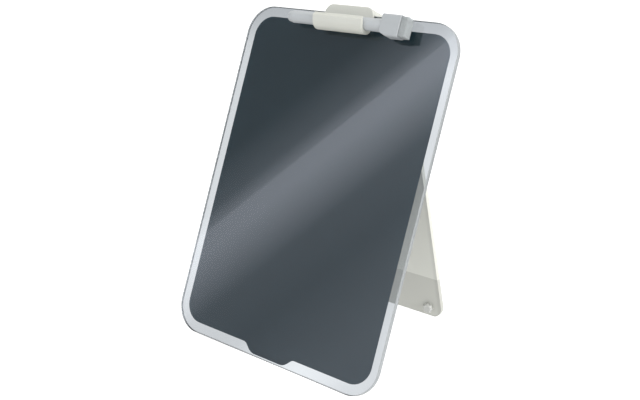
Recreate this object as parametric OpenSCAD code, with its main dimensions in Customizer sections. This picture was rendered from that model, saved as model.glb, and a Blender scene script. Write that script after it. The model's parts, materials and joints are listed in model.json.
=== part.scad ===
// Desk easel with a magnetic glass writing panel.
// The panel leans back on a folding leg. A saddle clip grips its top edge, holds
// the marker in front and carries the leg's hinge behind.
// Millimetres. +Z is up, the writing face looks towards -Y, and the origin is the
// middle of the footprint on the desk.

/* [Panel] */
// Width of the glass panel
panel_w = 220; // [160:1:320]
// Height of the glass panel, along its face
panel_h = 304; // [220:1:400]
// Thickness of the glass
glass_t = 4; // [3:0.5:6]
// Radius of the glass panel's corners
panel_r = 26; // [12:1:40]
// Width of the ground bevel on the glass edges
arris = 0.5; // [0.2:0.1:1]
// Angle that the panel leans back from upright
lean = 23; // [14:0.5:30]

/* [Backing] */
// Clear glass left beside the colour layer, on the long edges
side_border = 8; // [5:0.5:16]
// Clear glass left beside the colour layer, at the top and bottom
end_border = 9; // [5:0.5:16]
// Radius of the colour layer's corners
colour_r = 18; // [6:1:30]
// Width of the colour layer's bottom tab where it leaves the layer
tab_root_w = 53; // [30:1:90]
// Width of the bottom tab's lower edge
tab_foot_w = 37; // [14:1:60]
// Clear glass left below the bottom tab
tab_border = 1.5; // [1:0.5:4]
// Radius of the bottom tab's lower corners
tab_r = 11; // [1:0.5:12]
// Radius where the bottom tab leaves the layer
tab_throat_r = 5; // [1:0.5:6]
// Thickness of the colour layer
colour_t = 0.2; // [0.1:0.05:0.4]
// Thickness of the adhesive film behind the colour layer
film_t = 0.15; // [0.1:0.05:0.3]
// Thickness of the steel sheet that magnets pull on
steel_t = 0.6; // [0.4:0.1:1]
// How far the steel sheet stays inside the colour layer's edge
steel_inset = 0.6; // [0.2:0.1:3]

/* [Saddle clip] */
// Width of the clip, and of the hinge housing behind it
clip_w = 50; // [44:1:80]
// Height of the clip above the glass's top edge, at its front
hood_rise = 6.6; // [5.6:0.1:12]
// How much lower the clip's top is at its back than at its front
hood_fall = 1.5; // [0:0.1:3]
// Radius of the clip's top corners, seen from the front
hood_r = 8.8; // [3:0.1:10]
// Radius of the clip's top edges, seen from the side
hood_edge_r = 1.3; // [0.5:0.1:1.6]
// Wall between the marker and the glass
saddle_wall = 2.6; // [2:0.1:4]
// Wall of the marker hook
hook_wall = 3.1; // [1.8:0.1:4]
// Angle that the hook's front wall opens out
hook_flare = 20; // [5:1:30]
// Height of the marker's axis below the glass's top edge
marker_drop = 9.4; // [8:0.1:16]
// How far the hook's front wall rises above the marker's axis
hook_rise = 3; // [0:0.1:5]
// Thickness of the foam tape that bonds the clip to the glass
tape_t = 0.4; // [0.2:0.1:1]

/* [Hinge] */
// Angle between the panel and the leg when it stands
open_angle = 30.8; // [26:0.2:40]
// Height of the hinge axis below the glass's top edge
hinge_drop = 4; // [3:0.5:8]
// How far the hinge housing reaches behind the hinge axis
housing_reach = 7; // [6.4:0.1:9]
// Thickness of the housing's mounting plate
plate_t = 2.2; // [1.8:0.1:3]
// Thickness of the housing's top and back walls
housing_wall = 2; // [1.4:0.1:2.4]
// Thickness of the housing's two cheeks
cheek_t = 3.5; // [2.5:0.1:5]
// How far the cheeks reach below the hinge axis
cheek_reach = 9.5; // [6:0.5:10]
// How far the mounting plate reaches below the glass's top edge
plate_reach = 42; // [30:1:70]
// Diameter of the hinge pin
pin_d = 3; // [2:0.1:3.6]
// Outer diameter of the leg's hinge barrel
barrel_d = 6.6; // [5.6:0.1:7]
// Thickness of each friction washer
washer_t = 0.6; // [0.4:0.1:1]
// Diameter of the clamp screws
screw_d = 2; // [1.6:0.1:2]
// Distance between the two clamp screws
screw_gap = 30; // [20:1:34]

/* [Leg] */
// Width of the leg at its foot
foot_w = 158; // [110:1:200]
// Width of the leg at its shoulders
shoulder_w = 101; // [64:1:150]
// Thickness of the leg
leg_t = 4.5; // [3.5:0.1:5]
// Thickness of the leg's smooth skin, on the side that faces the panel
skin_t = 2; // [1.2:0.1:3]
// Width of the rim round the back of the leg
rim_w = 3; // [2:0.5:6]
// Thickness of the leg's ribs
rib_t = 1.6; // [1:0.1:3]
// Number of ribs that run across the leg
cross_ribs = 5; // [2:1:9]
// Radius of the leg's foot corners
foot_r = 11; // [4:1:20]
// Radius of the leg's shoulder corners
shoulder_r = 14; // [6:1:24]
// Distance from the hinge axis down to the shoulders
neck_len = 14; // [13:0.5:24]
// Width of the gap between the leg's two hinge barrels
barrel_gap = 16; // [6:1:24]
// Diameter of the clear bumper pads
pad_d = 9.4; // [6:0.2:14]
// Distance of each bumper pad's centre from the leg's edge at the foot
pad_side = 15; // [9:0.5:40]
// Height of the bumper pads' centres above the desk
pad_up = 9; // [7:0.5:30]

/* [Marker] */
// Diameter of the marker's barrel
marker_d = 10.8; // [8:0.2:14]
// Distance from the clip's middle to the marker's plug end
plug_reach = 57; // [40:0.5:80]
// Distance from the clip's middle to the cap's mouth
cap_reach = 42; // [41:0.5:60]
// Visible length of the end plug
plug_len = 4; // [2:0.5:8]
// Wall of the marker's barrel
barrel_wall = 1.1; // [0.8:0.1:1.8]
// Length of the barrel's neck inside the cap
neck_in_cap = 4.5; // [3:0.5:6]
// Length of the nib holder in front of the barrel's neck
holder_len = 4; // [3:0.5:6]
// Length of the nib in front of its holder
nib_len = 3; // [2:0.5:5]
// Diameter of the nib
nib_d = 3; // [2:0.2:4]

/* [Cap] */
// Length of the cap, without the felt
cap_len = 18; // [16:0.5:26]
// Height of the cap, along the panel
cap_h = 18.4; // [15.4:0.2:24]
// Depth of the cap, square to the panel
cap_d = 11.8; // [11.4:0.2:15]
// Radius of the cap's long edges
cap_r = 2; // [1:0.5:5]
// Length of the slope under the cap's mouth
cap_slope = 6.5; // [3:0.5:10]
// Thickness of the eraser felt
felt_t = 6; // [3:0.5:10]
// How far the felt stays inside the cap's outline
felt_inset = 1.1; // [0.2:0.1:1.5]
// Thickness of the soft seal at the bottom of the cap
seal_t = 0.8; // [0.5:0.1:1.5]

/* [Fits] */
// Gap between the marker and the hook that holds it
marker_fit = 0.25; // [0.1:0.05:0.6]
// Gap between the leg's hinge barrels and the mounting plate
barrel_clear = 0.35; // [0.3:0.05:1]
// Gap between a hinge pin and the leg's bore, on the radius
pin_fit = 0.05; // [0.02:0.01:0.1]
// Gap between the washers and what they rub on
washer_fit = 0.1; // [0.05:0.05:0.3]
// Gap between the leg and the housing's stop
stop_gap = 0.1; // [0.05:0.05:0.5]
// Gap left under the bumper pads when the leg is folded
fold_gap = 0.3; // [0.1:0.1:1]
// Gap between the clip and the glass's top edge
edge_gap = 0.3; // [0.1:0.1:1]
// Gap round the marker's neck inside the cap
cap_fit = 0.08; // [0.04:0.02:0.3]

/* [Hidden] */
$fn = 64;
eps = 0.01;
far = 600;

// The panel's frame: x across, y up the face from the glass's bottom edge,
// z out of the writing face. Depths behind the face are negative z.
colour_back = glass_t + colour_t;
film_back = colour_back + film_t;
stack_back = film_back + steel_t;
plate_front = stack_back + tape_t;
plate_back = plate_front + plate_t;
colour_w = panel_w - 2 * side_border;
colour_h = panel_h - 2 * end_border;
tape_inset = 1;
tape_split = 2;

// The clip's front plane, the marker's axis in front of it and the hook round it.
saddle_front = tape_t + saddle_wall;
marker_r = marker_d / 2;
hook_in = marker_r + marker_fit;
hook_out = hook_in + hook_wall;
marker_y = panel_h - marker_drop;
marker_z = saddle_front + hook_in;

// The hinge axis in the panel's frame, the housing round it and the top line above.
hinge_y = panel_h - hinge_drop;
hinge_back = plate_back + barrel_clear + barrel_d / 2;
housing_depth = hinge_back + housing_reach;
hood_top = panel_h + hood_rise;
hood_slope = hood_fall / (saddle_front + housing_depth);
cheek_in = clip_w / 2 - cheek_t;
knuckle_x = cheek_in - washer_t - 2 * washer_fit;
plate_x = clip_w / 2 - 1;
plate_low = panel_h - plate_reach;
plate_r = 4;
screw_wall = 0.5;
screw_y = panel_h + edge_gap + screw_wall + screw_d / 2;
screw_fit = 0.1;
screw_head_r = screw_d * 0.85;
screw_head_h = screw_d * 0.5;
screw_cover = 2.2;
screw_tip = saddle_front - screw_cover;
driver_d = screw_d + 1;

// The hinge axis and the leg in the desk's frame.
panel_lift = (glass_t - arris) * sin(lean);
leg_tilt = open_angle - lean;
hinge_z = hinge_y * cos(lean) - hinge_back * sin(lean) + panel_lift;
hinge_from_edge = hinge_y * sin(lean) + hinge_back * cos(lean);
leg_len = hinge_z / cos(leg_tilt);
foot_reach = leg_len + leg_t * tan(leg_tilt) / 2;
throat_r = 3;
front_y = arris * sin(lean);
back_y = hinge_from_edge + foot_reach * sin(leg_tilt) + leg_t * cos(leg_tilt) / 2;
panel_shift = -(front_y + back_y) / 2;
pad_h = hinge_back - leg_t / 2 - stack_back - fold_gap;

// The marker's lengths along its own axis, from the clip's middle.
neck_step = 0.35;
neck_wall = 0.9;
cap_floor = 2.4;
plug_in = 5;
ink_gap = 0.4;
tail = plug_len - plug_reach;
barrel_bore = marker_r - barrel_wall;
neck_r = barrel_bore - neck_step;
neck_bore = neck_r - neck_wall;
ink_end = cap_reach - 8;
holder_end = cap_reach + neck_in_cap + holder_len;
nib_end = holder_end + nib_len;
cap_hollow_r = neck_r + cap_fit;
cap_end = cap_reach + cap_len;
seal_x = cap_end - cap_floor - seal_t;
mouth_lip = 0.9;
felt_r = max(0.2, cap_r - felt_inset);

// Points on an arc of n steps, for an outline.
function arc(c, r, a0, a1, n = 8) =
    [for (i = [0:n]) let (a = a0 + (a1 - a0) * i / n) c + r * [cos(a), sin(a)]];

// Points of the arc of radius r that rounds the corner b between a and c.
function corner(a, b, c, r, n = 6) =
    let (u = (a - b) / norm(a - b), v = (c - b) / norm(c - b),
         half = acos(u * v) / 2, reach = r / tan(half),
         mid = b + (u + v) / norm(u + v) * r / sin(half),
         p = b + u * reach - mid, q = b + v * reach - mid,
         a0 = atan2(p[1], p[0]), turn = atan2(q[1], q[0]) - a0,
         sweep = turn > 180 ? turn - 360 : turn < -180 ? turn + 360 : turn)
    r <= 0 ? [b] : arc(mid, r, a0, a0 + sweep, n);

// An outline whose corners are rounded by the radii in rs.
function rounded(ps, rs) =
    [for (i = [0:len(ps) - 1]) each
        corner(ps[(i + len(ps) - 1) % len(ps)], ps[i], ps[(i + 1) % len(ps)], rs[i])];

module panel_space() {
    translate([0, panel_shift, panel_lift]) rotate([90 - lean, 0, 0]) children();
}

// The leg's frame: y up the leg to the hinge axis, z out of the face towards the panel.
module leg_space() {
    translate([0, panel_shift + hinge_from_edge, hinge_z]) rotate([90 + leg_tilt, 0, 0]) children();
}

// Extrudes a (y, z) outline along x.
module along_x(w) {
    rotate([90, 0, 90]) translate([0, 0, -w / 2]) linear_extrude(w) children();
}

// A round bar along x, from x0 to x1.
module bar_x(r, x0, x1, y, z) {
    translate([x0, y, z]) rotate([0, 90, 0]) cylinder(h = x1 - x0, r = r);
}

module rounded_square(w, h, r) {
    square([w - 2 * r, h], center = true);
    square([w, h - 2 * r], center = true);
    for (x = [-1, 1], y = [-1, 1]) translate([x * (w / 2 - r), y * (h / 2 - r)]) circle(r);
}

// A sheet behind the glass, with its front at depth front.
module backing_sheet(inset, front, t, r) {
    translate([0, panel_h / 2, -front - t]) linear_extrude(t)
        rounded_square(colour_w - 2 * inset, colour_h - 2 * inset, r);
}

// The edge of the plate, with a bevel all round, as half of its section.
module glass_section(reach) {
    polygon([[0, -glass_t], [reach - arris, -glass_t], [reach, arris - glass_t],
             [reach, -arris], [reach - arris, 0], [0, 0]]);
}

module glass_panel() {
    color("lightcyan", 0.4) panel_space() {
        along_x(panel_w - 2 * panel_r) {
            translate([panel_h / 2, 0]) glass_section(panel_h / 2);
            translate([panel_h / 2, 0]) mirror([1, 0]) glass_section(panel_h / 2);
        }
        translate([0, panel_h - panel_r, 0]) rotate([90, 0, 0]) linear_extrude(panel_h - 2 * panel_r) {
            glass_section(panel_w / 2);
            mirror([1, 0]) glass_section(panel_w / 2);
        }
        for (x = [-1, 1], y = [panel_r, panel_h - panel_r])
            translate([x * (panel_w / 2 - panel_r), y, 0]) rotate_extrude() glass_section(panel_r);
    }
}

module colour_layer() {
    foot_x = tab_foot_w / 2;
    root_x = tab_root_w / 2;
    wide_x = root_x + 2 * tab_throat_r;
    tab_top = end_border + colour_r;
    tab = [[foot_x, tab_border], [root_x, end_border], [wide_x, end_border], [wide_x, tab_top],
           [-wide_x, tab_top], [-wide_x, end_border], [-root_x, end_border], [-foot_x, tab_border]];
    color("darkslategray") panel_space() {
        backing_sheet(0, glass_t, colour_t, colour_r);
        translate([0, 0, -colour_back]) linear_extrude(colour_t)
            polygon(rounded(tab, [tab_r, tab_throat_r, 0, 0, 0, 0, tab_throat_r, tab_r]));
    }
}

module adhesive_film() {
    color("white", 0.6) panel_space()
        backing_sheet(steel_inset, colour_back, film_t, colour_r - steel_inset);
}

module steel_sheet() {
    color("silver") panel_space()
        backing_sheet(steel_inset, film_back, steel_t, colour_r - steel_inset);
}

// One strip on the glass's face under the clip, two on the steel under the plate.
module mounting_tape() {
    front_w = clip_w - 2 * tape_inset;
    front_h = panel_h - arris - tape_inset - marker_y;
    back_low = plate_low + plate_r / 2;
    back_h = panel_h - end_border - steel_inset - tape_inset - back_low;
    back_w = plate_x - tape_inset - tape_split / 2;
    color("white") panel_space() {
        translate([-front_w / 2, marker_y, 0]) cube([front_w, front_h, tape_t]);
        for (s = [0, 1]) mirror([s, 0, 0])
            translate([tape_split / 2, back_low, -plate_front]) cube([back_w, back_h, tape_t]);
    }
}

// The top line of the hood falls from the front to the back.
function hood_line(z) = hood_top - hood_slope * (saddle_front - z);

// Part of the hood between two depths, from low up to the sloping top. Its corners
// are round from the front, and its top edges from the side.
module hood_body(low, z_front, z_back, r_front, r_back) {
    half = clip_w / 2;
    intersection() {
        translate([0, 0, z_back - 1]) linear_extrude(z_front - z_back + 2)
            polygon(rounded([[-half, 0], [half, 0], [half, hood_top], [-half, hood_top]],
                            [0, 0, hood_r, hood_r]));
        along_x(clip_w + 2)
            polygon(rounded([[low, z_front], [hood_line(z_front), z_front],
                             [hood_line(z_back), z_back], [low, z_back]],
                            [0, r_front, r_back, 0]));
    }
}

// Countersunk screws that pull the housing up to the clip, above the glass.
module screw_places() {
    for (s = [-1, 1]) translate([s * screw_gap / 2, screw_y, -plate_back]) children();
}

// The front moulding: a round hook for the marker, a wall on the glass's face
// and a block over its top edge. The block is cored from behind.
module pen_clip() {
    front_tan = [marker_y - hook_in * sin(hook_flare), marker_z + hook_in * cos(hook_flare)];
    up = [cos(hook_flare), sin(hook_flare)];
    out = [-sin(hook_flare), cos(hook_flare)];
    tip = front_tan + up * (marker_y + hook_rise - front_tan[0]) / up[0];
    lip = tip + out * hook_wall;
    tip_r = hook_wall * 0.45;
    core_wall = 1.5;
    core_low = panel_h + edge_gap + core_wall;
    core_h = hood_line(-plate_front) - core_wall - core_low;
    core_w = screw_gap - screw_d - 2 * core_wall;
    color("gainsboro") panel_space() difference() {
        union() {
            bar_x(hook_out, -clip_w / 2, clip_w / 2, marker_y, marker_z);
            along_x(clip_w) polygon(rounded([front_tan, front_tan + out * hook_wall, lip, tip],
                                            [0, 0, tip_r, tip_r]));
            hood_body(marker_y, saddle_front, tape_t, hood_edge_r, 0);
            hood_body(panel_h + edge_gap, tape_t + eps, -plate_front, 0, 0);
        }
        bar_x(hook_in, -clip_w, clip_w, marker_y, marker_z);
        along_x(2 * clip_w) polygon([[marker_y, saddle_front], front_tan,
            front_tan + up * far, [hood_top + far, saddle_front]]);
        translate([-clip_w, 0, tape_t - hook_out]) cube([2 * clip_w, panel_h, hook_out]);
        translate([-core_w / 2, core_low, -plate_front - eps])
            cube([core_w, core_h, plate_front + saddle_front - core_wall + eps]);
        screw_places() cylinder(h = plate_back + screw_tip, r = screw_d / 2);
    }
}

// The rear moulding: a plate bonded to the steel, two cheeks for the pin, and a top
// and back wall. The back wall's lower edge is the stop that the open leg leans on,
// and its two holes let a screwdriver through to the clamp screws.
module hinge_housing() {
    stop_rise = 0.5;
    cheek_foot = 2;
    cheek_foot_r = 1.5;
    cheek_back_r = 4;
    cheek_low = hinge_y - cheek_reach;
    back_low = hinge_y - housing_reach + stop_rise;
    back_in = housing_wall - housing_depth;
    cheek = [[cheek_low, -plate_front], [far, -plate_front], [far, -housing_depth],
             [back_low, -housing_depth], [cheek_low, -hinge_back - cheek_foot]];
    inner_top = hood_top - housing_wall;
    over_barrel = hood_line(-hinge_back) - housing_wall - hinge_y - barrel_d / 2;
    inner_r = min(hood_r - cheek_t, over_barrel);
    color("gainsboro") panel_space() difference() {
        union() {
            translate([0, 0, -plate_back]) linear_extrude(plate_t)
                polygon(rounded([[-plate_x, plate_low], [plate_x, plate_low],
                                 [plate_x, hinge_y], [-plate_x, hinge_y]],
                                [plate_r, plate_r, 0, 0]));
            intersection() {
                hood_body(cheek_low, -plate_front, -housing_depth, 0, hood_edge_r);
                along_x(clip_w + 2)
                    polygon(rounded(cheek, [0, 0, 0, cheek_foot_r, cheek_back_r]));
            }
        }
        intersection() {
            along_x(clip_w) {
                polygon([[0, -plate_back], [hood_line(-plate_back) - housing_wall, -plate_back],
                    [hood_line(back_in) - housing_wall, back_in], [back_low, back_in],
                    [back_low, -housing_depth - 1], [0, -housing_depth - 1]]);
                // Where the open leg lies, so that its outer face meets the back wall's bevel.
                translate([hinge_y, -hinge_back]) rotate(open_angle)
                    translate([-far, -leg_t / 2 - stop_gap]) square([far, leg_t + stop_gap]);
            }
            translate([0, 0, -housing_depth - 1]) linear_extrude(housing_depth)
                polygon(rounded([[-cheek_in, 0], [cheek_in, 0],
                                 [cheek_in, inner_top], [-cheek_in, inner_top]],
                                [0, 0, inner_r, inner_r]));
        }
        bar_x(pin_d / 2, -clip_w, clip_w, hinge_y, -hinge_back);
        screw_places() {
            cylinder(h = far, r = screw_d / 2 + screw_fit);
            cylinder(h = screw_head_h, r1 = screw_head_r + screw_fit, r2 = screw_d / 2 + screw_fit);
            translate([0, 0, -far]) cylinder(h = far, r = driver_d / 2);
        }
    }
}

module clamp_screws() {
    slot_w = screw_d * 0.2;
    color("silver") panel_space() screw_places() difference() {
        union() {
            cylinder(h = screw_head_h, r1 = screw_head_r, r2 = screw_d / 2);
            cylinder(h = plate_back + screw_tip, r = screw_d / 2);
        }
        for (a = [0, 90]) rotate(a) cube([screw_d, slot_w, screw_head_h], center = true);
    }
}

module hinge_pin() {
    recess = 0.4;
    color("silver") panel_space()
        bar_x(pin_d / 2, -clip_w / 2 + recess, clip_w / 2 - recess, hinge_y, -hinge_back);
}

// One waved washer, drawn flat, between each cheek and the leg's barrel.
module friction_washers() {
    washer_r = barrel_d / 2 - washer_fit;
    color("silver") panel_space() for (s = [-1, 1]) difference() {
        x0 = s > 0 ? knuckle_x + washer_fit : -cheek_in + washer_fit;
        bar_x(washer_r, x0, x0 + washer_t, hinge_y, -hinge_back);
        bar_x(pin_d / 2 + pin_fit, x0 - 1, x0 + washer_t + 1, hinge_y, -hinge_back);
    }
}

// Half the leg's width at the height y, which is 0 at the hinge axis.
function leg_side(y) =
    shoulder_w / 2 + (foot_w - shoulder_w) / 2 * (-neck_len - y) / (leg_len - neck_len);

// The leg from the front: a wide foot, round shoulders and a neck up to the hinge axis.
module leg_outline() {
    foot_x = leg_side(-foot_reach);
    shoulder_x = shoulder_w / 2;
    polygon(rounded([[foot_x, -foot_reach], [shoulder_x, -neck_len], [knuckle_x, -neck_len],
                     [knuckle_x, 0], [-knuckle_x, 0], [-knuckle_x, -neck_len],
                     [-shoulder_x, -neck_len], [-foot_x, -foot_reach]],
                    [foot_r, shoulder_r, throat_r, 0, 0, throat_r, shoulder_r, foot_r]));
}

// The hollow in the leg's back, inside its rim, from low to top.
module leg_hollow(low, top) {
    low_x = leg_side(low) - rim_w;
    top_x = leg_side(top) - rim_w;
    difference() {
        polygon(rounded([[low_x, low], [top_x, top], [-top_x, top], [-low_x, low]],
                        [foot_r - rim_w, shoulder_r - rim_w, shoulder_r - rim_w, foot_r - rim_w]));
        leg_ribs(low, top);
    }
}

// Two ribs down the leg and a row of ribs across it.
module leg_ribs(low, top) {
    for (s = [-1, 1])
        polygon([[s * leg_side(low) / 3 - rib_t / 2, low], [s * leg_side(low) / 3 + rib_t / 2, low],
                 [s * leg_side(top) / 3 + rib_t / 2, top], [s * leg_side(top) / 3 - rib_t / 2, top]]);
    for (i = [1:cross_ribs])
        translate([-foot_w / 2, low + (top - low) * i / (cross_ribs + 1) - rib_t / 2])
            square([foot_w, rib_t]);
}

// A plate with a smooth face towards the panel, and a rim and ribs behind it.
// Its foot reaches through the desk's surface and is cut flat there.
module stand_leg() {
    color("whitesmoke") difference() {
        leg_space() difference() {
            union() {
                translate([0, 0, -leg_t / 2]) linear_extrude(leg_t) leg_outline();
                for (s = [0, 1]) mirror([s, 0, 0]) bar_x(barrel_d / 2, barrel_gap / 2, knuckle_x, 0, 0);
            }
            translate([0, 0, -leg_t / 2 - eps]) linear_extrude(leg_t - skin_t + eps)
                leg_hollow(rim_w - leg_len, -neck_len - rim_w);
            translate([-barrel_gap / 2, -barrel_d, -barrel_d])
                cube([barrel_gap, 2 * barrel_d, 2 * barrel_d]);
            bar_x(pin_d / 2 + pin_fit, -clip_w, clip_w, 0, 0);
        }
        translate([-far / 2, -far / 2, -far]) cube([far, far, far]);
    }
}

// Clear domed pads that keep the folded leg off the steel.
module bumper_pads() {
    r = pad_d / 2;
    dome = min(1.4, pad_h / 2);
    pad_y = pad_up / cos(leg_tilt) - leg_len;
    color("white", 0.5) leg_space()
        for (s = [-1, 1]) translate([s * (foot_w / 2 - pad_side), pad_y, leg_t / 2])
            rotate_extrude() polygon(concat([[0, 0], [r, 0]],
                arc([r - dome, pad_h - dome], dome, 0, 90, 6), [[0, pad_h]]));
}

module marker_space() {
    panel_space() translate([0, marker_y, marker_z]) rotate([0, 90, 0]) children();
}

// The barrel: a tube with a narrower neck that the cap slides over.
module marker_barrel() {
    chamfer = 0.8;
    shoulder = cap_reach - 0.2;
    neck_root = cap_reach - 2;
    neck_tip = cap_reach + neck_in_cap;
    color("lightsteelblue") marker_space() rotate_extrude()
        polygon([[barrel_bore, tail], [marker_r - chamfer, tail], [marker_r, tail + chamfer],
                 [marker_r, shoulder], [neck_r, shoulder], [neck_r, neck_tip],
                 [neck_bore, neck_tip], [neck_bore, neck_root],
                 [barrel_bore, neck_root - barrel_bore + neck_bore]]);
}

module end_plug() {
    plug_r = marker_r - 0.7;
    end_r = 2;
    cup_r = barrel_bore - 1.2;
    cup_floor = tail - 1;
    color("lightsteelblue") marker_space() rotate_extrude()
        polygon(concat([[0, -plug_reach]], arc([plug_r - end_r, end_r - plug_reach], end_r, -90, 0, 6),
            [[plug_r, tail], [barrel_bore, tail], [barrel_bore, tail + plug_in],
             [cup_r, tail + plug_in], [cup_r, cup_floor], [0, cup_floor]]));
}

module ink_reservoir() {
    ink_start = tail + plug_in + ink_gap;
    color("white") marker_space() translate([0, 0, ink_start])
        cylinder(h = ink_end - ink_start, r = barrel_bore - ink_gap);
}

module nib_holder() {
    nib_r = nib_d / 2;
    tip_wall = 0.7;
    collar_r = neck_r - 0.3;
    collar_h = 0.8;
    root = cap_reach + neck_in_cap;
    sleeve = root - 5;
    color("lightgray") marker_space() rotate_extrude()
        polygon([[nib_r, sleeve], [neck_bore, sleeve], [neck_bore, root], [collar_r, root],
                 [collar_r, root + collar_h], [nib_r + tip_wall, holder_end], [nib_r, holder_end]]);
}

module marker_nib() {
    color("dimgray") marker_space() {
        translate([0, 0, ink_end]) cylinder(h = nib_end - nib_d / 2 - ink_end, r = nib_d / 2);
        translate([0, 0, nib_end - nib_d / 2]) difference() {
            sphere(nib_d / 2);
            translate([0, 0, -nib_d]) cube(2 * nib_d, center = true);
        }
    }
}

// The cap: a rounded block over the nib, whose end holds the eraser. Under its mouth
// it slopes up to the barrel, so that a thumb can push it off.
module cap_shell() {
    mouth = [-marker_r - mouth_lip, cap_reach];
    slope = [-cap_h / 2, cap_reach + cap_slope] - mouth;
    before = mouth - slope / 2;
    after = mouth + slope * 3 / 2;
    color("lightsteelblue") marker_space() difference() {
        translate([0, 0, cap_reach]) linear_extrude(cap_len) rounded_square(cap_d, cap_h, cap_r);
        translate([0, 0, cap_reach - 1]) cylinder(h = 1 + seal_x + seal_t - cap_reach, r = cap_hollow_r);
        along_x(2 * cap_d) polygon([before, after, [after[0], before[1]]]);
    }
}

module cap_seal() {
    color("gray") marker_space() translate([0, 0, seal_x])
        cylinder(h = seal_t, r = cap_hollow_r);
}

module eraser_felt() {
    color("gray") marker_space() translate([0, 0, cap_end]) linear_extrude(felt_t)
        rounded_square(cap_d - 2 * felt_inset, cap_h - 2 * felt_inset, felt_r);
}

glass_panel();
colour_layer();
adhesive_film();
steel_sheet();
mounting_tape();
pen_clip();
hinge_housing();
clamp_screws();
hinge_pin();
friction_washers();
stand_leg();
bumper_pads();
marker_barrel();
end_plug();
ink_reservoir();
nib_holder();
marker_nib();
cap_shell();
cap_seal();
eraser_felt();
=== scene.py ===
"""The looks of a magnetic desk easel: its finishes, soft edges, felt, studio and camera.

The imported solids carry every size. Each operator dresses one piece or one group of like
pieces, and the sidebar panel lists the operators in the order that main() runs them.
Lengths are metres in the row's frame: +Z is up and the writing face looks towards -Y.
"""

import json
import math

import bmesh
import bpy
from bpy.props import FloatProperty, FloatVectorProperty, IntProperty, PointerProperty
from mathutils import Matrix, Vector

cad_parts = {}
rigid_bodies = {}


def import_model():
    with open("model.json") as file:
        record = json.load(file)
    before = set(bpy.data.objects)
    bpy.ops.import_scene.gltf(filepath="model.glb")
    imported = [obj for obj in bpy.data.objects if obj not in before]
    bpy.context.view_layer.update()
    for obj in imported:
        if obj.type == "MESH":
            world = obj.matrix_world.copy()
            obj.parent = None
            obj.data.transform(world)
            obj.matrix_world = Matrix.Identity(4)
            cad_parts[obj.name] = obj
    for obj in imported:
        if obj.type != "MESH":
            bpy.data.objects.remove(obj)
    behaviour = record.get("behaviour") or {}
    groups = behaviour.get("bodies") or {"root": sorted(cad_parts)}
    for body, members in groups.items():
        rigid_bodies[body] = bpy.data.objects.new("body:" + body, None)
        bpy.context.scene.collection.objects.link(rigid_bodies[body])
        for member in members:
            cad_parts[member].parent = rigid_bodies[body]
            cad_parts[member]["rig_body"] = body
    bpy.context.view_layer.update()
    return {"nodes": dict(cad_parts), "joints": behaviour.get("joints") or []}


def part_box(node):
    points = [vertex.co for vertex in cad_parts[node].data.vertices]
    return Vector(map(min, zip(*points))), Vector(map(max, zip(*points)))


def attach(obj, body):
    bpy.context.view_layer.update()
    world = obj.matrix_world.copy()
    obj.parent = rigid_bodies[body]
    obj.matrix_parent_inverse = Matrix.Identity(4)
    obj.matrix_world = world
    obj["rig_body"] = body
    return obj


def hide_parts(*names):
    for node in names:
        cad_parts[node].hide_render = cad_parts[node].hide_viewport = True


bl_info = {
    "name": "Desk easel looks",
    "version": (1, 0, 0),
    "blender": (4, 5, 0),
    "location": "3D View > Sidebar > Desk easel",
    "description": "Finishes, soft edges, felt, studio light and camera of a magnetic desk easel",
    "category": "Object",
}

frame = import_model()
NODES = frame["nodes"]
GLASS_LOW, GLASS_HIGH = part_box("glass_panel")
HINGE = Vector(next(j["pos_m"] for j in frame["joints"] if j["name"] == "stand_fold"))

MM = 0.001
WELD = 0.000002      # closer than this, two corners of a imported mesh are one
CONTACT = 0.00002    # how far a bonded piece reaches into the next, which leaves no air gap
FLAT = 0.999         # how far a face of the glass plate agrees with its front where it is flat
WHOLE_FACE = math.radians(0.4)      # facets that turn less than this are one flat face
CORNER_STEPS = 24                   # facets round each corner of a rounded plate
EDGE_SHADE_FULL = 2.5 * MM               # up to this height the ground edge is all painted shade
EDGE_SHADE_GONE = 6 * MM                 # and from this height it has none

FOOT_SHADE = 0.77    # painted shade on the leg's foot band, against the rest of the leg
RIM_SHADE = 0.86     # painted shade on the leg's sides, against the rest of the leg

FELT_SOFTNESS = 0.0005              # radius round the ends of the felt block
FELT_GRAIN = 0.0003                 # size of the facets that the nap moves
FELT_NAP = 0.0002                   # how far the nap rises and sinks
FELT_SEED = 7
SQUARE_CENTIMETRES = 1e4            # in a square metre
FIBRE_ARCH = 0.2                    # how far a fibre bends, against its length
FIBRE_TILT = 0.15                   # how far a fibre leans out of the felt, in radians


# ---------------------------------------------------------------- sizes and colours

def linear(hex_colour):
    """An sRGB hex colour as the linear RGB that the shaders use."""
    channels = (int(hex_colour[i:i + 2], 16) / 255 for i in (1, 3, 5))
    return tuple(c / 12.92 if c <= 0.04045 else ((c + 0.055) / 1.055) ** 2.4 for c in channels)


def length(name, description, metres):
    return FloatProperty(name=name, description=description, default=metres,
                         min=0.0, precision=5, subtype="DISTANCE", unit="LENGTH")


def angle(name, description, degrees):
    return FloatProperty(name=name, description=description, default=math.radians(degrees),
                         subtype="ANGLE", unit="ROTATION")


def colour(name, description, hex_colour):
    return FloatVectorProperty(name=name, description=description, default=linear(hex_colour),
                               min=0.0, max=1.0, size=3, subtype="COLOR")


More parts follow.
